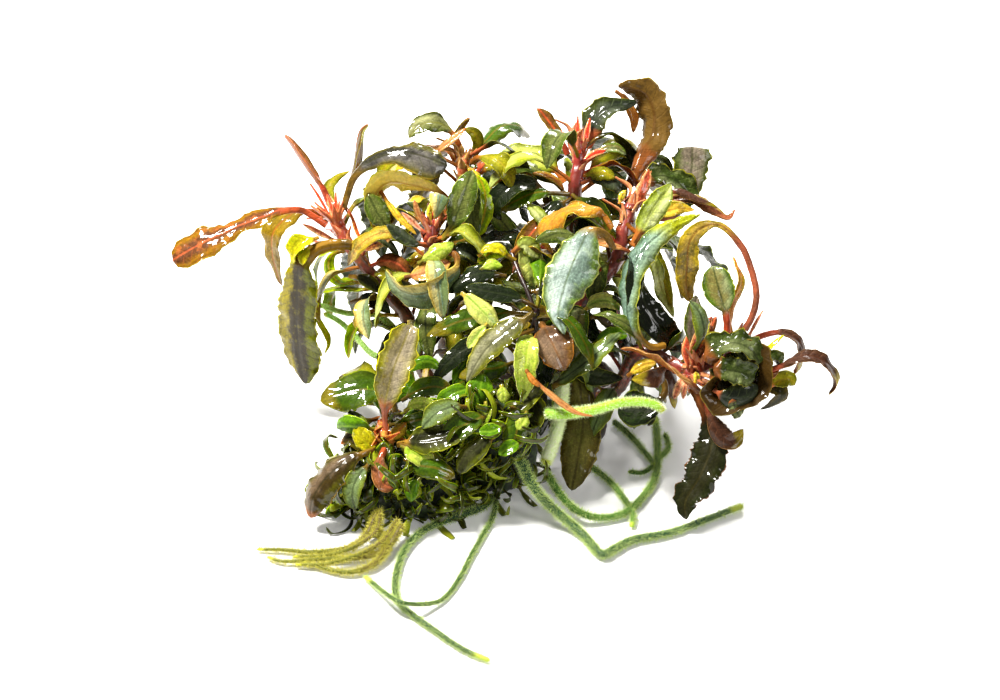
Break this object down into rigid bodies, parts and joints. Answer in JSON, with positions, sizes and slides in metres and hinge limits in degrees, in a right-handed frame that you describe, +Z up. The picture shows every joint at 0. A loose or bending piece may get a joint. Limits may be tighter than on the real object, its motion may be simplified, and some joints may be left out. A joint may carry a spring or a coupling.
{
  "type": "bucephalandra clump",
  "caption": "Bare-rooted aquarium plant: creeping rhizomes with arching leathery leaves in rosettes, loose fuzzy roots and a low mat of curly leaflets, resting on a surface.",
  "frame": {"origin": "middle of the bounding box's bottom face, on the surface the clump rests on", "axes": "+X to the viewer's right in the picture, +Y away from the viewer, +Z up"},
  "size_m": [0.0859, 0.0797, 0.0396],
  "materials": {
    "old_stem": "old creeping stem, dark brown, rough",
    "moss": "dense curly leaflets, dark to bright green",
    "stem": "fibrous stem, maroon to brick red, with dark green leaves fused on",
    "root": "root with whitish fuzz over a green core",
    "brown_root": "root with tan-brown fuzz",
    "bronze": "leathery leaf, bronze to orange, satin with a wet coat",
    "olive": "leathery leaf, olive with a yellow-green margin, satin",
    "brown": "leathery leaf, brown, satin",
    "slate": "leathery leaf, slate grey-green with a violet-blue sheen",
    "tan": "leaf underside, tan, satin",
    "dark_green": "leathery leaf, very dark green, glossy",
    "lime": "thin young leaf, lime green",
    "blue_green": "leathery leaf, pale blue-green with a sheen",
    "pink": "thin young leaf, pinkish tan",
    "mauve": "leathery leaf, mauve-brown, satin"
  },
  "bodies": {
    "root": {"old_rhizomes": "old_stem", "moss_mat": "moss", "shoot_left": "stem", "shoot_centre_left": "stem", "shoot_back_left": "stem", "shoot_back_right": "stem", "shoot_right_centre": "stem", "shoot_right": "stem", "shoot_low_left": "stem", "shoot_centre": "stem", "shoot_back": "stem", "root_white_horizontal": "root", "root_white_hanging": "root", "root_long_right": "root", "root_looped": "root", "root_long_front": "root", "root_thin_front": "root", "root_brown_bundle": "brown_root", "root_pale_pair": "root", "leaf_bronze": "bronze", "leaf_strap": "olive", "leaf_edge_on": "bronze", "leaf_upright": "brown", "leaf_silver_arch": "slate", "leaf_hanging": "olive", "leaf_tan_arch": "tan", "leaf_speckled": "dark_green", "leaf_lime": "lime", "leaf_smile": "slate", "leaf_curled_top": "dark_green", "leaf_green_arch": "olive", "leaf_pale_broad": "blue_green", "leaf_red_brown": "bronze", "leaf_slate": "slate", "leaf_hooked": "tan", "leaf_violet": "slate", "leaf_pale_ellipse": "blue_green", "leaf_golden_arch": "tan", "leaf_blue_green": "blue_green", "leaf_long_slate": "slate", "leaf_black_glossy": "dark_green", "leaf_tan_bend": "tan", "leaf_green_right": "blue_green", "leaf_tan_crossing": "pink", "leaf_rolled": "olive", "leaf_mauve_hooked": "mauve", "leaf_dark_hanging": "dark_green", "leaf_mauve_arc_upper": "mauve", "leaf_mauve_arc_lower": "mauve", "leaf_pale_olive": "blue_green", "leaf_pink_hanging": "pink", "leaf_glossy": "dark_green", "leaf_low_olive": "olive", "leaf_grey_olive": "slate", "leaf_grey_glossy": "slate", "leaf_mauve_broad": "mauve", "leaf_striped": "dark_green", "leaf_grey_strap": "brown", "leaf_black_ellipse": "dark_green"}
  },
  "joints": []
}
